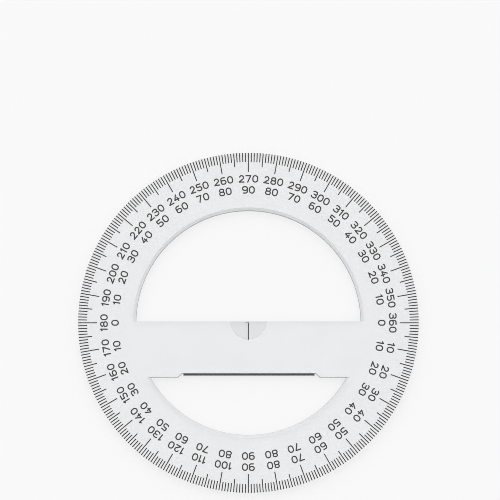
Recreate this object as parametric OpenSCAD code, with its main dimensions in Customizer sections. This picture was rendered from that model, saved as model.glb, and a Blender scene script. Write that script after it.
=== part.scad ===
// Full-circle protractor: a clear moulded ring with one crossbar, printed on its underside.
// It lies on the drawing surface, z = 0, with the centre of the degree circle at the origin.
// Degrees run clockwise from +X, seen from above, and the tops of the numerals face outwards.

/* [Plate] */
// Diameter over the rim, which is also the diameter of the degree circle
outer_d = 120; // [105:1:150]
// Thickness of the plate
plate_t = 2.8; // [2:0.1:3.5]
// Thickness left at the rim, below the bevel
rim_t = 2.4; // [1:0.1:2.6]
// Width of the bevel round the upper face, measured in from the rim
bevel_w = 0.6; // [0.2:0.1:3]
// Width of the ring, from the rim to the openings
ring_w = 20.5; // [18:0.1:24]
// Width of the chamfer round the ring's inner edge
inner_chamfer_w = 1; // [0.2:0.1:1.5]
// Depth of the chamfer round the ring's inner edge
inner_chamfer_d = 0.6; // [0.2:0.1:1.2]

/* [Crossbar] */
// Distance from the centre up to the crossbar's upper edge
bar_above = 0.6; // [0.2:0.1:1.5]
// Distance from the centre down to the crossbar's lower edge
bar_below = 19.4; // [17:0.1:24]

/* [Gate recess] */
// Length of the recess that holds the trimmed moulding gate
recess_l = 47; // [20:1:47]
// Depth of the recess, measured up from the crossbar's lower edge
recess_d = 1.4; // [0.9:0.1:2]
// Length that each end of the recess slopes over
recess_slope = 1.5; // [0.5:0.1:3]
// Distance of the recess to the right of the centre
recess_shift = 0.2; // [0:0.1:2]
// Width of the gate's remaining lip
gate_lip_w = 0.6; // [0.4:0.05:0.8]
// Thickness of the gate's remaining lip
gate_lip_t = 1; // [0.4:0.1:1.4]
// Gap between each end of the lip and the recess's corner
gate_gap = 0.4; // [0:0.1:2]

/* [Centre pad] */
// Radius of the half-round matt pad, measured from the middle of the crossbar's upper edge
pad_r = 6.4; // [4:0.1:10]
// Depth of the pad, sunk into the underside
pad_d = 0.15; // [0.1:0.05:0.3]
// Length of the centre line, from the centre down
centre_line_l = 6.1; // [4:0.1:12]
// Length of the short line across the top of the centre line
cross_line_l = 1.1; // [1:0.1:4]
// Width of the short line
cross_line_w = 0.16; // [0.1:0.02:0.36]

/* [Print] */
// Thickness of the ink
ink_t = 0.03; // [0.02:0.01:0.05]
// Depth of the relief that keeps the printed ring off the paper
relief_d = 0.05; // [0.05:0.01:0.1]
// Width of a printed line
line_w = 0.36; // [0.2:0.01:0.4]
// Length of the 1 degree lines
one_degree_l = 3.1; // [2:0.1:3.4]
// Length of the 5 degree lines
five_degree_l = 4.7; // [3.5:0.1:5]
// Length of the 10 degree lines
ten_degree_l = 6.6; // [5.5:0.1:7]

/* [Numerals] */
// Height of a digit
digit_h = 2.7; // [2:0.1:2.8]
// Width of a digit
digit_w = 2.1; // [1.6:0.1:2.1]
// Width of the pen stroke that draws a digit
stroke_w = 0.45; // [0.25:0.01:0.5]
// Room that a digit takes along the line
digit_pitch = 2.42; // [2.2:0.01:2.5]
// Room that the digit 1 takes along the line
one_pitch = 1.46; // [1.3:0.01:1.6]
// Distance from the rim to the middle of the outer numerals
outer_numeral_in = 9.1; // [8.8:0.1:9.5]
// Distance from the rim to the middle of the inner numerals
inner_numeral_in = 13; // [12.6:0.1:14]

/* [Hidden] */
$fn = 180;

outer_r = outer_d / 2;
inner_r = outer_r - ring_w;
// How far a cutting solid reaches past the face that it opens.
over = 1;
// The printed ring's relief starts this far inside the inner numerals' middle line.
relief_margin = 2.6;
relief_r = outer_r - inner_numeral_in - relief_margin;
// The ink stops just short of the rim.
rim_gap = 0.05;
// Ink hangs from the ceiling of the relief, and in the pad from the pad's ceiling.
ink_z = relief_d - ink_t;
pad_ink_z = pad_d - ink_t;
stroke_fn = 48;

// The middle line of a digit's strokes fits a box of this half width and half height.
half_w = (digit_w - stroke_w) / 2;
half_h = (digit_h - stroke_w) / 2;

// The digits of a whole number, from left to right.
function digits_of(n) = n < 10 ? [n] : concat(digits_of(floor(n / 10)), [n % 10]);

// The room that one digit takes along the line.
function pitch(d) = d == 1 ? one_pitch : digit_pitch;

// The length of the first count digits of a line.
function run_length(ds, count) = count == 0 ? 0 : run_length(ds, count - 1) + pitch(ds[count - 1]);

// The inner scale rises from 0 to 90 and falls again, twice round.
function inner_value(a) = 90 - abs(90 - a % 180);

// The direction from p at which a line touches the circle of radius r about c, on its right.
function touch_angle(p, c, r) =
    atan2(c[1] - p[1], c[0] - p[0]) - asin(r / norm(c - p));

// ---- Moulded plate ----

// The whole disc, before its openings, with the bevel round its upper face.
module bevelled_disc() {
    rotate_extrude()
        polygon([
            [0, 0],
            [outer_r, 0],
            [outer_r, rim_t],
            [outer_r - bevel_w, plate_t],
            [0, plate_t],
        ]);
}

// The round bore inside the ring, with the chamfer round its upper edge.
module ring_bore() {
    translate([0, 0, -over])
        cylinder(h = plate_t + 2 * over, r = inner_r);
    translate([0, 0, plate_t - inner_chamfer_d])
        cylinder(
            h = 2 * inner_chamfer_d,
            r1 = inner_r,
            r2 = inner_r + 2 * inner_chamfer_w
        );
}

// A D-shaped opening: the part of the bore above or below the crossbar.
module opening(low_y, high_y) {
    intersection() {
        ring_bore();
        translate([-outer_r, low_y, -2 * over])
            cube([outer_d, high_y - low_y, plate_t + 4 * over]);
    }
}

// The recess in the crossbar's lower edge, with sloping ends.
module gate_recess() {
    half = recess_l / 2;
    translate([recess_shift, -bar_below, -over])
        linear_extrude(plate_t + 2 * over)
            polygon([
                [-half, recess_d],
                [half, recess_d],
                [half + recess_slope, 0],
                [half + recess_slope, -over],
                [-half - recess_slope, -over],
                [-half - recess_slope, 0],
            ]);
}

// What is left of the film gate after it has been cut off, inside the recess.
module gate_lip() {
    length = recess_l - 2 * gate_gap;
    translate([recess_shift - length / 2, -bar_below + recess_d - gate_lip_w, 0])
        cube([length, gate_lip_w, gate_lip_t]);
}

// The shallow step in the underside that keeps the printed ring off the paper.
module print_relief() {
    rotate_extrude()
        translate([relief_r, -over])
            square([ring_w + over, relief_d + over]);
}

// The half-round pad, sunk into the underside. The upper opening has cut its other half away.
module centre_pad() {
    translate([0, bar_above, -over])
        cylinder(h = pad_d + over, r = pad_r);
}

module clear_body() {
    color([0.88, 0.9, 0.92, 0.45]) {
        difference() {
            bevelled_disc();
            opening(bar_above, outer_r);
            opening(-outer_r, -bar_below);
            gate_recess();
            print_relief();
            centre_pad();
        }
        gate_lip();
    }
}

// ---- Printed lines ----

// Lines at every step degrees, from the rim inwards, leaving out the multiples of skip.
module degree_marks(step, skip, length) {
    for (a = [0 : step : 359])
        if (skip == 0 || a % skip != 0)
            rotate(-a)
                translate([outer_r - rim_gap - length, -line_w / 2, ink_z])
                    cube([length, line_w, ink_t]);
}

module one_degree_marks() {
    color("black")
        degree_marks(1, 5, one_degree_l);
}

module five_degree_marks() {
    color("black")
        degree_marks(5, 10, five_degree_l);
}

module ten_degree_marks() {
    color("black")
        degree_marks(10, 0, ten_degree_l);
}

// The centre line and the short line across its top end, which meet at the centre.
module centre_mark() {
    color("black")
        translate([0, 0, pad_ink_z]) {
            translate([-line_w / 2, -centre_line_l, 0])
                cube([line_w, centre_line_l + cross_line_w / 2, ink_t]);
            translate([-cross_line_l, -cross_line_w / 2, 0])
                cube([cross_line_l, cross_line_w, ink_t]);
        }
}

// ---- Pen strokes ----

// A straight stroke with square ends.
module bar(a, b) {
    run = b - a;
    translate([a[0], a[1], 0])
        rotate(atan2(run[1], run[0]))
            translate([0, -stroke_w / 2, 0])
                cube([norm(run), stroke_w, ink_t]);
}

// A round end, or the round corner between two bars.
module dot(p) {
    translate([p[0], p[1], 0])
        cylinder(h = ink_t, d = stroke_w, $fn = stroke_fn);
}

// A curved stroke about c, from one angle round to a larger one.
module bend(c, r, from, to) {
    translate([c[0], c[1], 0])
        rotate(from)
            rotate_extrude(angle = to - from, $fn = stroke_fn)
                translate([r - stroke_w / 2, 0])
                    square([stroke_w, ink_t]);
}

// A curved stroke with a round end at its first angle.
module hook(c, r, from, to) {
    bend(c, r, from, to);
    dot(c + r * [cos(from), sin(from)]);
}

// Straight strokes from point to point, with round corners and ends.
module pen_line(points) {
    for (i = [1 : len(points) - 1])
        bar(points[i - 1], points[i]);
    for (p = points)
        dot(p);
}

// A closed loop about c with round ends, such as the digit 0.
module loop(c, w, h) {
    r = min(w, h) / 2;
    upright = (h - w) / 2;
    level = (w - h) / 2;
    for (s = [-1, 1]) {
        if (upright > 0) {
            bend(c + [0, s * upright], r, 90 - 90 * s, 270 - 90 * s);
            bar(c + [s * r, -upright], c + [s * r, upright]);
        }
        if (level > 0) {
            bend(c + [s * level, 0], r, -90 * s, 180 - 90 * s);
            bar(c + [-level, s * r], c + [level, s * r]);
        }
    }
}

// ---- Digits, each about its own middle ----

module digit_0() {
    loop([0, 0], 2 * half_w, 2 * half_h);
}

module digit_1() {
    stem_x = 0.16 * digit_w / 2;
    flag = 0.26 * digit_w;
    pen_line([[stem_x - flag, half_h - 0.8 * flag], [stem_x, half_h], [stem_x, -half_h]]);
}

module digit_2() {
    r = 0.82 * half_w;
    c = [0, half_h - r];
    foot = [-half_w, -half_h];
    from = touch_angle(foot, c, r) - 90;
    to = 165;
    bend(c, r, from, to);
    dot(c + r * [cos(to), sin(to)]);
    pen_line([c + r * [cos(from), sin(from)], foot, [half_w, -half_h]]);
}

module digit_3() {
    upper_r = 0.46 * half_h;
    lower_r = half_h - upper_r;
    upper_c = [half_w - upper_r - 0.06, half_h - upper_r];
    lower_c = [half_w - lower_r, -half_h + lower_r];
    waist_y = upper_c[1] - upper_r;
    turn_x = -0.35 * half_w;
    bend(upper_c, upper_r, -90, 90);
    bar([turn_x, half_h], [upper_c[0], half_h]);
    bend([turn_x, upper_c[1]], upper_r, 90, 150);
    dot([turn_x, upper_c[1]] + upper_r * [cos(150), sin(150)]);
    bar([turn_x, waist_y], [lower_c[0], waist_y]);
    dot([turn_x, waist_y]);
    bend(lower_c, lower_r, -90, 90);
    bar([turn_x, -half_h], [lower_c[0], -half_h]);
    hook([turn_x, lower_c[1]], lower_r, 210, 270);
}

module digit_4() {
    bar_y = -0.45 * half_h;
    stem_x = 0.4 * half_w;
    pen_line([[0.3 * half_w, half_h], [-half_w, bar_y], [half_w, bar_y]]);
    pen_line([[stem_x, 0.15 * half_h], [stem_x, -half_h]]);
}

module digit_5() {
    bowl_r = 0.58 * half_h;
    side_x = -0.88 * half_w;
    bowl_y = -half_h + 2 * bowl_r;
    bowl_c = [half_w - bowl_r, -half_h + bowl_r];
    turn_x = -0.25 * half_w;
    pen_line([[0.85 * half_w, half_h], [side_x, half_h], [side_x, bowl_y]]);
    bar([side_x, bowl_y], [bowl_c[0], bowl_y]);
    bend(bowl_c, bowl_r, -90, 90);
    bar([turn_x, -half_h], [bowl_c[0], -half_h]);
    hook([turn_x, bowl_c[1]], bowl_r, 215, 270);
}

module digit_6() {
    bowl_h = 1.16 * half_h;
    top_r = 0.8 * half_w;
    bowl_c = [0, -half_h + bowl_h / 2];
    top_c = [-half_w + top_r, half_h - top_r];
    tip = [0.62 * half_w, half_h];
    loop(bowl_c, 2 * half_w, bowl_h);
    bar([-half_w, bowl_c[1]], [-half_w, top_c[1]]);
    bend(top_c, top_r, 90, 180);
    bar([top_c[0], half_h], tip);
    dot(tip);
}

module digit_7() {
    pen_line([[-half_w, half_h], [half_w, half_h], [-0.3 * half_w, -half_h]]);
}

module digit_8() {
    upper_h = 0.94 * half_h;
    lower_h = 2 * half_h - upper_h;
    loop([0, half_h - upper_h / 2], 1.72 * half_w, upper_h);
    loop([0, -half_h + lower_h / 2], 2 * half_w, lower_h);
}

module digit_9() {
    rotate(180)
        digit_6();
}

module digit(d) {
    if (d == 0) digit_0();
    if (d == 1) digit_1();
    if (d == 2) digit_2();
    if (d == 3) digit_3();
    if (d == 4) digit_4();
    if (d == 5) digit_5();
    if (d == 6) digit_6();
    if (d == 7) digit_7();
    if (d == 8) digit_8();
    if (d == 9) digit_9();
}

// ---- Numerals ----

// A whole number, written straight across the line at angle a, at radius r.
module numeral(value, r, a) {
    ds = digits_of(value);
    length = run_length(ds, len(ds));
    rotate(-90 - a)
        for (i = [0 : len(ds) - 1])
            translate([run_length(ds, i) + pitch(ds[i]) / 2 - length / 2, r, ink_z])
                digit(ds[i]);
}

module outer_numerals() {
    color("black")
        for (a = [10 : 10 : 360])
            numeral(a, outer_r - outer_numeral_in, a);
}

module inner_numerals() {
    color("black")
        for (a = [0 : 10 : 350])
            numeral(inner_value(a), outer_r - inner_numeral_in, a);
}

clear_body();
one_degree_marks();
five_degree_marks();
ten_degree_marks();
outer_numerals();
inner_numerals();
centre_mark();
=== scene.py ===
import math

import bmesh
import bpy
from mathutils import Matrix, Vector


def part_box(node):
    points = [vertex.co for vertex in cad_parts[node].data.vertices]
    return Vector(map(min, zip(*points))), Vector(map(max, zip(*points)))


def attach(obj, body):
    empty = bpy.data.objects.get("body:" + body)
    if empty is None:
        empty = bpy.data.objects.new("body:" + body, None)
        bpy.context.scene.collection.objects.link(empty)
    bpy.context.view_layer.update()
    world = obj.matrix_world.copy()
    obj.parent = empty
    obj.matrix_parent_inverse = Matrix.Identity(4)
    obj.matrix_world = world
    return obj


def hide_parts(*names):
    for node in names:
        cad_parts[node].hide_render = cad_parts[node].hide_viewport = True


# The visual model of a clear full-circle protractor: one glass-clear moulding with rounded edges,
# a frosted centre pad and the rough trimmed gate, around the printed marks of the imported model.
# Lengths are in metres. Angles are in degrees where a name ends in _DEG, and in radians elsewhere.
# South is -Y, towards 90 degrees on the scale, and north is +Y.

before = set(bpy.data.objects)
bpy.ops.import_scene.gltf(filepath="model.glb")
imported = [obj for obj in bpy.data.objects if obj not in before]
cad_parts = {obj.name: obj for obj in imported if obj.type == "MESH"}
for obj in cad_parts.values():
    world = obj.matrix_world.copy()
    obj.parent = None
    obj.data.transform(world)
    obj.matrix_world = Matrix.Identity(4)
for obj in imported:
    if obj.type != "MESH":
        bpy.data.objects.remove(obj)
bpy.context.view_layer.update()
MM = 0.001

BODY_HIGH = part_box("clear_body")[1]
PRINT_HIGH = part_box("ten_degree_marks")[1]
CENTRE_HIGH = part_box("centre_mark")[1]

# ---- The moulding's sizes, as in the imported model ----

OUTER_R = BODY_HIGH.x
PLATE_T = BODY_HIGH.z
RIM_T = 2.4 * MM
BEVEL_W = 0.6 * MM
BORE_R = OUTER_R - 20.5 * MM
CHAMFER_W = 1.0 * MM
CHAMFER_D = 0.6 * MM
BAR_TOP = 0.6 * MM
BAR_BOTTOM = -19.4 * MM
RECESS_L = 47.0 * MM
RECESS_D = 1.4 * MM
RECESS_SLOPE = 1.5 * MM
RECESS_SHIFT = 0.2 * MM
STUMP_W = 0.60 * MM
STUMP_T = 1.0 * MM
STUMP_GAP = 0.4 * MM
PAD_R = 6.4 * MM
RELIEF_R = OUTER_R - 15.6 * MM

# Ink tops sit this far inside the plastic, so that ink and plastic share no face.
INK_BITE = 0.003 * MM
RELIEF_Z = PRINT_HIGH.z - INK_BITE
PAD_Z = CENTRE_HIGH.z - INK_BITE

# ---- The finer shape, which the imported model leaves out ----

EDGE_R = 0.10 * MM
FOOT_R = 0.06 * MM
CORNER_R = 0.30 * MM
RELIEF_SLOPE_W = 0.9 * MM
# The chamfer flares out a little just under the upper face.
FLARE_W = 0.10 * MM
FLARE_D = 0.03 * MM
# How far a wall leans back for each unit of height
WALL_DRAFT = 0.07

RIM_SEGMENTS = 720
PAD_SEGMENTS = 180
UPPER_ARC_STEPS = 300
LOWER_ARC_STEPS = 200
BAR_STEPS = 24
CORNER_STEPS = 6
STUMP_STEPS = 230
QUARTER_TURN = [math.radians(22.5 * i) for i in range(5)]

# Edges sharper than this stay crisp.
CRISP_DEG = 35
STUMP_CRISP_DEG = 50

# The plate's materials, in the order of its material slots
CLEAR, FROSTED_SHADED, SATIN_SHADED, SHADED_WALL = range(4)
# A face looks along an axis when its unit normal has more than FACING along it. It is upright
# when the normal has less than UPRIGHT along Z, and level when it has more than LEVEL.
FACING = 0.9
UPRIGHT = 0.3
LEVEL = 0.97

# ---- The stage ----

# The floor is a light table: this share of its brightness comes from below.
FLOOR_GLOW = 0.75
FLOOR_HALF = 6.0
FLOOR_Z = -0.05 * MM
SOUTH_LIGHT = 0.4
NORTH_LIGHT = 1.55
VIEW_AIM = Vector((0.56 * MM, 25.8 * MM, 0))
VIEW_TILT_DEG = 4.16
VIEW_DISTANCE = 3.0
VIEW_WIDTH = 176.4 * MM
SENSOR_WIDTH_MM = 36


# ---- Mesh helpers ----

def new_object(name, bm, angle_deg=CRISP_DEG):
    """Turns a bmesh into a linked object whose edges sharper than angle_deg stay crisp."""
    bmesh.ops.recalc_face_normals(bm, faces=bm.faces)
    mesh = bpy.data.meshes.new(name)
    bm.to_mesh(mesh)
    bm.free()
    mesh.set_sharp_from_angle(angle=math.radians(angle_deg))
    ob = bpy.data.objects.new(name, mesh)
    bpy.context.scene.collection.objects.link(ob)
    return ob


def apply_modifiers(ob):
    """Keeps the shape that the modifiers give, and drops the modifiers."""
    graph = bpy.context.evaluated_depsgraph_get()
    mesh = bpy.data.meshes.new_from_object(ob.evaluated_get(graph))
    ob.modifiers.clear()
    ob.data = mesh


def weigh_normals(ob):
    """Lets the large flat faces keep their own direction right up to their rounded edges."""
    weigh = ob.modifiers.new("weigh_normals", "WEIGHTED_NORMAL")
    weigh.weight = 100
    weigh.keep_sharp = True
    apply_modifiers(ob)


def add_loop(bm, points):
    return [bm.verts.new(p) for p in points]


def bridge(bm, a, b):
    """Smooth-shaded quads between two closed loops of equally many vertices."""
    n = len(a)
    for i in range(n):
        j = (i + 1) % n
        face = bm.faces.new((a[i], a[j], b[j], b[i]))
        face.smooth = True


def bridge_all(bm, loops):
    """The skin over a row of loops, each joined to the next."""
    for a, b in zip(loops, loops[1:]):
        bridge(bm, a, b)


def cap(bm, loops):
    """A flat face with holes, between closed loops that lie in one plane."""
    edges = []
    for loop in loops:
        for i, v in enumerate(loop):
            w = loop[(i + 1) % len(loop)]
            edges.append(bm.edges.get((v, w)) or bm.edges.new((v, w)))
    bmesh.ops.triangle_fill(bm, use_beauty=True, use_dissolve=False, edges=edges)


def arc_points(radius, z, start, end, count):
    """count + 1 points along an arc about the origin at height z."""
    return [
        Vector((radius * math.cos(a), radius * math.sin(a), z))
        for a in (start + (end - start) * i / count for i in range(count + 1))
    ]


def circle_points(radius, z, count):
    return arc_points(radius, z, 0, 2 * math.pi, count)[:-1]


# ---- The walls of the two openings ----

def wall_depths():
    """Heights at which the walls of an opening are drawn, from the underside to the upper face."""
    foot = [FOOT_R * (1 - math.sin(t)) for t in reversed(QUARTER_TURN)]
    edge = [PLATE_T - EDGE_R * (1 - math.sin(t)) for t in QUARTER_TURN]
    knee = PLATE_T - CHAMFER_D
    near = 0.04 * MM
    middle = [
        foot[-1] + near,
        knee - 3 * near,
        knee - near,
        knee,
        knee + near,
        knee + 3 * near,
        edge[0] - near,
    ]
    return foot + middle + edge


def quarter_round(depth, radius):
    """How far a quarter-round edge is cut back at a depth under its face."""
    if depth >= radius:
        return 0.0
    return radius - math.sqrt(radius ** 2 - (radius - depth) ** 2)


def bar_inset(z):
    """How far a wall of the crossbar stands back into the plastic at height z."""
    return WALL_DRAFT * z + quarter_round(z, FOOT_R) + quarter_round(PLATE_T - z, EDGE_R)


def arc_inset(z):
    """The same for the wall round the ring's inner edge, which has a softened chamfer and a flare."""
    depth = PLATE_T - z
    blend = 0.08 * MM
    raw = (CHAMFER_D - depth) * CHAMFER_W / CHAMFER_D
    chamfer = 0.5 * (raw + math.sqrt(raw ** 2 + blend ** 2)) if raw > -6 * blend else 0.0
    flare = FLARE_W * (1 - depth / FLARE_D) ** 2 if depth < FLARE_D else 0.0
    return WALL_DRAFT * z + quarter_round(z, FOOT_R) + chamfer + flare


def upper_opening_loop(z):
    """The opening above the crossbar at height z, anticlockwise."""
    radius = BORE_R + arc_inset(z)
    y = BAR_TOP - bar_inset(z)
    corner = math.asin(y / radius)
    points = arc_points(radius, z, corner, math.pi - corner, UPPER_ARC_STEPS)
    left = points[-1].x
    points += [Vector((left - 2 * left * i / BAR_STEPS, y, z)) for i in range(1, BAR_STEPS)]
    return points


def rounded_path(corners, radius, steps):
    """(point, unit normal on the left) along a path whose corners are rounded."""
    path = []
    for i in range(1, len(corners) - 1):
        p, q, r = (Vector(corners[k]) for k in (i - 1, i, i + 1))
        into, out = (q - p).normalized(), (r - q).normalized()
        turn = into.angle_signed(out)
        reach = radius * math.tan(abs(turn) / 2)
        side = -1 if turn > 0 else 1
        start = q - into * reach
        centre = start + side * radius * Vector((-into.y, into.x))
        spoke = start - centre
        for k in range(steps + 1):
            a = -turn * k / steps
            cos, sin = math.cos(a), math.sin(a)
            ray = Vector((spoke.x * cos - spoke.y * sin, spoke.x * sin + spoke.y * cos))
            path.append((centre + ray, -side * ray.normalized()))
    return path


def bar_bottom_path():
    """The crossbar's lower edge with its recess, from left to right, without its two ends."""
    half = RECESS_L / 2
    low, high = BAR_BOTTOM, BAR_BOTTOM + RECESS_D
    corners = [
        (-OUTER_R, low),
        (RECESS_SHIFT - half - RECESS_SLOPE, low),
        (RECESS_SHIFT - half, high),
        (RECESS_SHIFT + half, high),
        (RECESS_SHIFT + half + RECESS_SLOPE, low),
        (OUTER_R, low),
    ]
    return rounded_path(corners, CORNER_R, CORNER_STEPS)


def lower_opening_loop(z, path):
    """The opening below the crossbar at height z, anticlockwise."""
    radius = BORE_R + arc_inset(z)
    inset = bar_inset(z)
    corner = math.asin((BAR_BOTTOM + inset) / radius)
    points = arc_points(radius, z, -math.pi - corner, corner, LOWER_ARC_STEPS)
    for p, normal in reversed(path):
        q = p + normal * inset
        points.append(Vector((q.x, q.y, z)))
    return points


# ---- The rim ----

def relief_slope(start_r):
    """The gentle slope up to the relief's ceiling, an S in section."""
    steps = 12
    points = []
    for i in range(1, steps + 1):
        t = i / steps
        points.append((start_r + RELIEF_SLOPE_W * t, RELIEF_Z * t * t * (3 - 2 * t)))
    return points


def rim_profile():
    """(radius, height) from the underside's relief, round the rim and up the bevel to the top."""
    near = 0.05 * MM
    hair = 0.0001 * MM
    points = [(RELIEF_R, 0.0), (RELIEF_R + near, hair)]
    points += relief_slope(RELIEF_R + near)

    foot_r = OUTER_R - EDGE_R
    points.append((foot_r - near, RELIEF_Z))
    for t in QUARTER_TURN:
        points.append((foot_r + EDGE_R * math.sin(t), RELIEF_Z + EDGE_R * (1 - math.cos(t))))

    slope = (PLATE_T - RIM_T) / BEVEL_W
    end = math.pi / 2 - math.atan(slope)
    centre_z = RIM_T - EDGE_R * math.tan(end / 2)
    points.append((OUTER_R, centre_z - near))
    edge_steps = 5
    for i in range(edge_steps + 1):
        a = end * i / edge_steps
        points.append((foot_r + EDGE_R * math.cos(a), centre_z + EDGE_R * math.sin(a)))

    soft = 0.15 * MM
    inner = OUTER_R - BEVEL_W
    for r in (OUTER_R - 2 * EDGE_R, inner + soft + near):
        points.append((r, RIM_T + (OUTER_R - r) * slope))
    soft_steps = 6
    for i in range(soft_steps + 1):
        t = i / soft_steps
        drop = slope * (2 * soft) * (1 - t) ** 2 / 2
        points.append((inner + soft - 2 * soft * t, PLATE_T - drop))
    return points


# ---- The moulded plate ----

def plate_mesh():
    """The whole moulding, closed, before the centre pad is sunk into it."""
    bm = bmesh.new()
    rings = [add_loop(bm, circle_points(r, z, RIM_SEGMENTS)) for r, z in rim_profile()]
    bridge_all(bm, rings)
    path = bar_bottom_path()
    upper = [add_loop(bm, upper_opening_loop(z)) for z in wall_depths()]
    lower = [add_loop(bm, lower_opening_loop(z, path)) for z in wall_depths()]
    bridge_all(bm, upper)
    bridge_all(bm, lower)
    cap(bm, [rings[0], upper[0], lower[0]])
    cap(bm, [rings[-1], upper[-1], lower[-1]])
    return bm


def pad_cutter():
    """The round tool that sinks the half-round pad into the underside."""
    bm = bmesh.new()
    # (height, radius), narrowing a little towards the pad's frosted face
    levels = (
        (-1.0 * MM, PAD_R),
        (0.0, PAD_R),
        (PAD_Z - 0.03 * MM, PAD_R - 0.01 * MM),
        (PAD_Z, PAD_R - 0.05 * MM),
    )
    middle = Vector((0, BAR_TOP, 0))
    loops = []
    for z, r in levels:
        loops.append(add_loop(bm, [middle + p for p in circle_points(r, z, PAD_SEGMENTS)]))
    bridge_all(bm, loops)
    cap(bm, [loops[0]])
    cap(bm, [loops[-1]])
    return new_object("pad_cutter", bm)


def sink_pad(ob):
    """Cuts the centre pad into the moulding."""
    cutter = pad_cutter()
    cut = ob.modifiers.new("pad", "BOOLEAN")
    cut.operation = "DIFFERENCE"
    cut.solver = "EXACT"
    cut.object = cutter
    apply_modifiers(ob)
    bpy.data.objects.remove(cutter)


def face_finish(poly):
    """Which of the plate's materials a face takes."""
    middle, up = poly.center, poly.normal.z
    # The pad's frosted face gets a grey tint that is painted shade.
    if abs(middle.z - PAD_Z) < 0.001 * MM and up < -FACING:
        return FROSTED_SHADED
    # The crossbar's upper wall, which faces north, stays clear, without the painted shade of the
    # other walls
    if poly.normal.y > FACING and middle.y > 0:
        return CLEAR
    radius = math.hypot(middle.x, middle.y)
    # The chamfer gets a grey tint that is painted shade.
    on_chamfer = BORE_R < radius < BORE_R + 1.5 * CHAMFER_W and UPRIGHT < up < LEVEL
    if on_chamfer and middle.z < PLATE_T - FLARE_D:
        return SATIN_SHADED
    # The walls of the openings get a dark grey tint that is painted shade.
    on_wall = radius < BORE_R + CHAMFER_W and abs(up) < UPRIGHT and middle.z > PAD_Z
    return SHADED_WALL if on_wall else CLEAR


def build_plate(materials):
    ob = new_object("moulded_plate", plate_mesh())
    sink_pad(ob)
    ob.data.set_sharp_from_angle(angle=math.radians(CRISP_DEG))
    weigh_normals(ob)
    mesh = ob.data
    mesh.materials.clear()
    for material in materials:
        mesh.materials.append(material)
    for poly in mesh.polygons:
        poly.material_index = face_finish(poly)
    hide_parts("clear_body")
    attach(ob, "root")


# ---- The trimmed gate ----

def wobble(x, seed):
    """A smooth repeatable unevenness between -1 and 1."""
    a = math.sin(x * 2.1 + seed) + math.sin(x * 5.3 + 1.7 * seed) + math.sin(x * 11.9 + 2.3 * seed)
    return a / 3


def build_gate_stump(material):
    """The rough stump of the film gate along the recess's wall."""
    bm = bmesh.new()
    length = RECESS_L - 2 * STUMP_GAP
    wall = BAR_BOTTOM + RECESS_D
    back = wall + 0.05 * MM
    low = 0.02 * MM
    tear = 0.02 * MM
    rows = []
    for i in range(STUMP_STEPS + 1):
        x = RECESS_SHIFT - length / 2 + length * i / STUMP_STEPS
        u = 0.35 * i
        front = wall - STUMP_W + 1.5 * tear * wobble(u, 1)
        top = STUMP_T - 2.5 * tear * (1 - wobble(u, 4))
        section = [
            (back, low),
            (front + 3 * tear, low),
            (front + tear * wobble(1.7 * u, 2), low + 0.15 * MM),
            (front + tear * wobble(2.3 * u, 3), 0.6 * top),
            (front + 5 * tear, top - 3 * tear),
            (front + 11 * tear, top + tear * wobble(3.1 * u, 5)),
            (back, top),
        ]
        rows.append(add_loop(bm, [Vector((x, y, z)) for y, z in section]))
    bridge_all(bm, rows)
    bm.faces.new(rows[0])
    bm.faces.new(reversed(rows[-1]))
    ob = new_object("gate_stump", bm, STUMP_CRISP_DEG)
    ob.data.materials.append(material)
    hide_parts("clear_body")
    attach(ob, "root")


# ---- Materials ----

PLASTIC_IOR = 1.57
# The noise runs mostly between these two values.
NOISE_LOW = 0.35
NOISE_HIGH = 0.65


def new_material(name):
    material = bpy.data.materials.new(name)
    material.use_nodes = True
    tree = material.node_tree
    return material, tree, tree.nodes["Principled BSDF"].inputs


def object_noise(tree, scale, detail):
    """Noise fixed to the object, in features of about 1 / scale metres."""
    where = tree.nodes.new("ShaderNodeTexCoord")
    noise = tree.nodes.new("ShaderNodeTexNoise")
    noise.inputs["Scale"].default_value = scale
    noise.inputs["Detail"].default_value = detail
    tree.links.new(where.outputs["Object"], noise.inputs["Vector"])
    return noise.outputs["Fac"]


def ramp(tree, factor, low, high):
    """A colour between low and high, chosen by factor."""
    node = tree.nodes.new("ShaderNodeValToRGB")
    node.color_ramp.elements[0].position = NOISE_LOW
    node.color_ramp.elements[1].position = NOISE_HIGH
    node.color_ramp.elements[0].color = (*low, 1)
    node.color_ramp.elements[1].color = (*high, 1)
    tree.links.new(factor, node.inputs["Fac"])
    return node.outputs["Color"]


def bump(tree, height, strength, distance):
    node = tree.nodes.new("ShaderNodeBump")
    node.inputs["Strength"].default_value = strength
    node.inputs["Distance"].default_value = distance
    tree.links.new(height, node.inputs["Height"])
    return node.outputs["Normal"]


def grained_material(name, low, high, scale, detail, bump_strength, bump_height):
    """A material whose colour and bumps both follow one noise, and its shader's inputs."""
    material, tree, inputs = new_material(name)
    grain = object_noise(tree, scale, detail)
    tree.links.new(ramp(tree, grain, low, high), inputs["Base Color"])
    tree.links.new(bump(tree, grain, bump_strength, bump_height), inputs["Normal"])
    return material, inputs


def make_polystyrene(inputs, roughness, transmission):
    inputs["Roughness"].default_value = roughness
    inputs["IOR"].default_value = PLASTIC_IOR
    inputs["Transmission Weight"].default_value = transmission


def make_matt(inputs, roughness, specular):
    inputs["Roughness"].default_value = roughness
    inputs["Specular IOR Level"].default_value = specular


def clear_plastic():
    """Clear polystyrene with the faint waviness of a moulded face."""
    low, high = (0.882, 0.886, 0.893), (0.894, 0.898, 0.905)
    material, inputs = grained_material(
        "clear_plastic", low, high, scale=90, detail=2, bump_strength=0.15, bump_height=0.02 * MM)
    make_polystyrene(inputs, roughness=0.03, transmission=1.0)
    return material


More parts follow.
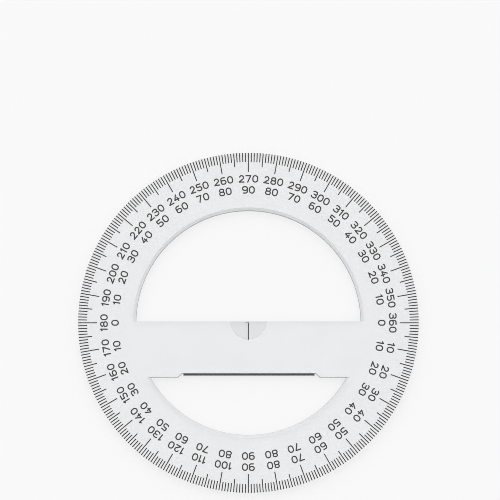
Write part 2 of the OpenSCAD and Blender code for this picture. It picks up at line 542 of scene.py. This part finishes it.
def satin_shaded_plastic():
    """The same plastic where the tool that cut the mould left a satin face, with a grey tint that is
    painted shade.
    """
    low, high = (0.67, 0.675, 0.685), (0.73, 0.735, 0.745)
    material, inputs = grained_material(
        "satin_shaded_plastic", low, high, scale=5000, detail=3, bump_strength=0.2, bump_height=0.01 * MM)
    make_polystyrene(inputs, roughness=0.3, transmission=0.5)
    return material


def shaded_wall_plastic():
    """The same plastic on the walls of the openings, drawn rough by the mould as it opened, with a
    dark grey tint that is painted shade.
    """
    low, high = (0.27, 0.275, 0.285), (0.35, 0.355, 0.365)
    material, inputs = grained_material(
        "shaded_wall_plastic", low, high, scale=4000, detail=3, bump_strength=0.2, bump_height=0.01 * MM)
    make_polystyrene(inputs, roughness=0.35, transmission=0.6)
    return material


def frosted_shaded_plastic():
    """The same plastic where the mould was spark-eroded to a fine matt grain, with a grey tint that
    is painted shade.
    """
    low, high = (0.735, 0.74, 0.755), (0.785, 0.79, 0.805)
    material, inputs = grained_material(
        "frosted_shaded_plastic", low, high, scale=9000, detail=3, bump_strength=0.3, bump_height=0.01 * MM)
    make_polystyrene(inputs, roughness=0.35, transmission=1.0)
    return material


def torn_shaded_plastic():
    """The gate's torn face, rough and opaque, with a dark grey colour that is painted shade."""
    # Painted shade: the dark grey stands in for the shade on the torn gate.
    low, high = (0.075, 0.078, 0.08), (0.14, 0.145, 0.15)
    material, inputs = grained_material(
        "torn_shaded_plastic", low, high, scale=3500, detail=6, bump_strength=0.8, bump_height=0.05 * MM)
    make_matt(inputs, roughness=0.6, specular=0.3)
    return material


def printed_ink():
    """Black printing ink, slightly uneven in density."""
    low, high = (0.012, 0.012, 0.013), (0.03, 0.03, 0.032)
    material, inputs = grained_material(
        "printed_ink", low, high, scale=6000, detail=4, bump_strength=0.4, bump_height=0.005 * MM)
    make_matt(inputs, roughness=0.55, specular=0.4)
    return material


def pale_floor():
    """White card on a light table. The card's own colour carries what the glow leaves over."""
    material, tree, inputs = new_material("pale_floor")
    share = 1 - FLOOR_GLOW
    low, high = [0.925 * share] * 3, [0.935 * share] * 3
    grain = object_noise(tree, scale=700, detail=5)
    tree.links.new(ramp(tree, grain, low, high), inputs["Base Color"])
    inputs["Emission Color"].default_value = (0.935, 0.935, 0.938, 1)
    inputs["Emission Strength"].default_value = FLOOR_GLOW
    make_matt(inputs, roughness=0.9, specular=0.1)
    return material


def ink_the_print(material):
    """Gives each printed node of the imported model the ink."""
    for name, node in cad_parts.items():
        if name == "clear_body":
            continue
        node.data.materials.clear()
        node.data.materials.append(material)


# ---- Stage, light and camera ----

def build_floor(material):
    bm = bmesh.new()
    corners = ((-1, -1), (1, -1), (1, 1), (-1, 1))
    bm.faces.new(add_loop(bm, [(FLOOR_HALF * x, FLOOR_HALF * y, FLOOR_Z) for x, y in corners]))
    ob = new_object("floor", bm)
    ob.data.materials.append(material)


def build_world():
    """White light from all round, weakest from the south and strongest from the north."""
    world = bpy.data.worlds.new("studio")
    bpy.context.scene.world = world
    world.use_nodes = True
    tree = world.node_tree
    background = tree.nodes["Background"]
    where = tree.nodes.new("ShaderNodeTexCoord")
    split = tree.nodes.new("ShaderNodeSeparateXYZ")
    fade = tree.nodes.new("ShaderNodeMapRange")
    tree.links.new(where.outputs["Generated"], split.inputs["Vector"])
    tree.links.new(split.outputs["Y"], fade.inputs["Value"])
    fade.inputs["From Min"].default_value = -1.0
    fade.inputs["To Min"].default_value = SOUTH_LIGHT
    fade.inputs["To Max"].default_value = NORTH_LIGHT
    tree.links.new(fade.outputs["Result"], background.inputs["Strength"])
    background.inputs["Color"].default_value = (1.0, 1.0, 1.0, 1.0)


def build_softbox(name, place, size, power):
    """A square area light that faces the origin."""
    light = bpy.data.lights.new(name, "AREA")
    light.shape = "SQUARE"
    light.size = size
    light.energy = power
    ob = bpy.data.objects.new(name, light)
    ob.location = place
    ob.rotation_euler = (-Vector(place)).to_track_quat("-Z", "Y").to_euler()
    bpy.context.scene.collection.objects.link(ob)


def build_camera():
    """A long lens, a few degrees south of straight above."""
    tilt = math.radians(VIEW_TILT_DEG)
    camera = bpy.data.cameras.new("camera")
    camera.sensor_width = SENSOR_WIDTH_MM
    camera.lens = SENSOR_WIDTH_MM * VIEW_DISTANCE / VIEW_WIDTH
    ob = bpy.data.objects.new("camera", camera)
    ob.location = VIEW_AIM + VIEW_DISTANCE * Vector((0, -math.sin(tilt), math.cos(tilt)))
    ob.rotation_euler = (tilt, 0, 0)
    bpy.context.scene.collection.objects.link(ob)
    bpy.context.scene.camera = ob


def set_light_paths():
    cycles = bpy.context.scene.cycles
    # Light that reaches the floor through the plastic stays sharp and keeps its strength.
    cycles.blur_glossy = 0.0
    # Light that runs along inside the thin plate is reflected many times before it leaves.
    cycles.max_bounces = 32
    cycles.glossy_bounces = 24
    cycles.transmission_bounces = 32
    # A pixel filter a good deal narrower than the usual 1.5 keeps the fine print crisp.
    cycles.filter_width = 0.85


build_plate([clear_plastic(), frosted_shaded_plastic(), satin_shaded_plastic(), shaded_wall_plastic()])
build_gate_stump(torn_shaded_plastic())
ink_the_print(printed_ink())
build_floor(pale_floor())
build_world()
build_softbox("north_softbox", place=(-0.5, 1.2, 1.6), size=1.6, power=5)
build_camera()
bpy.context.scene.view_settings.view_transform = "Standard"
set_light_paths()
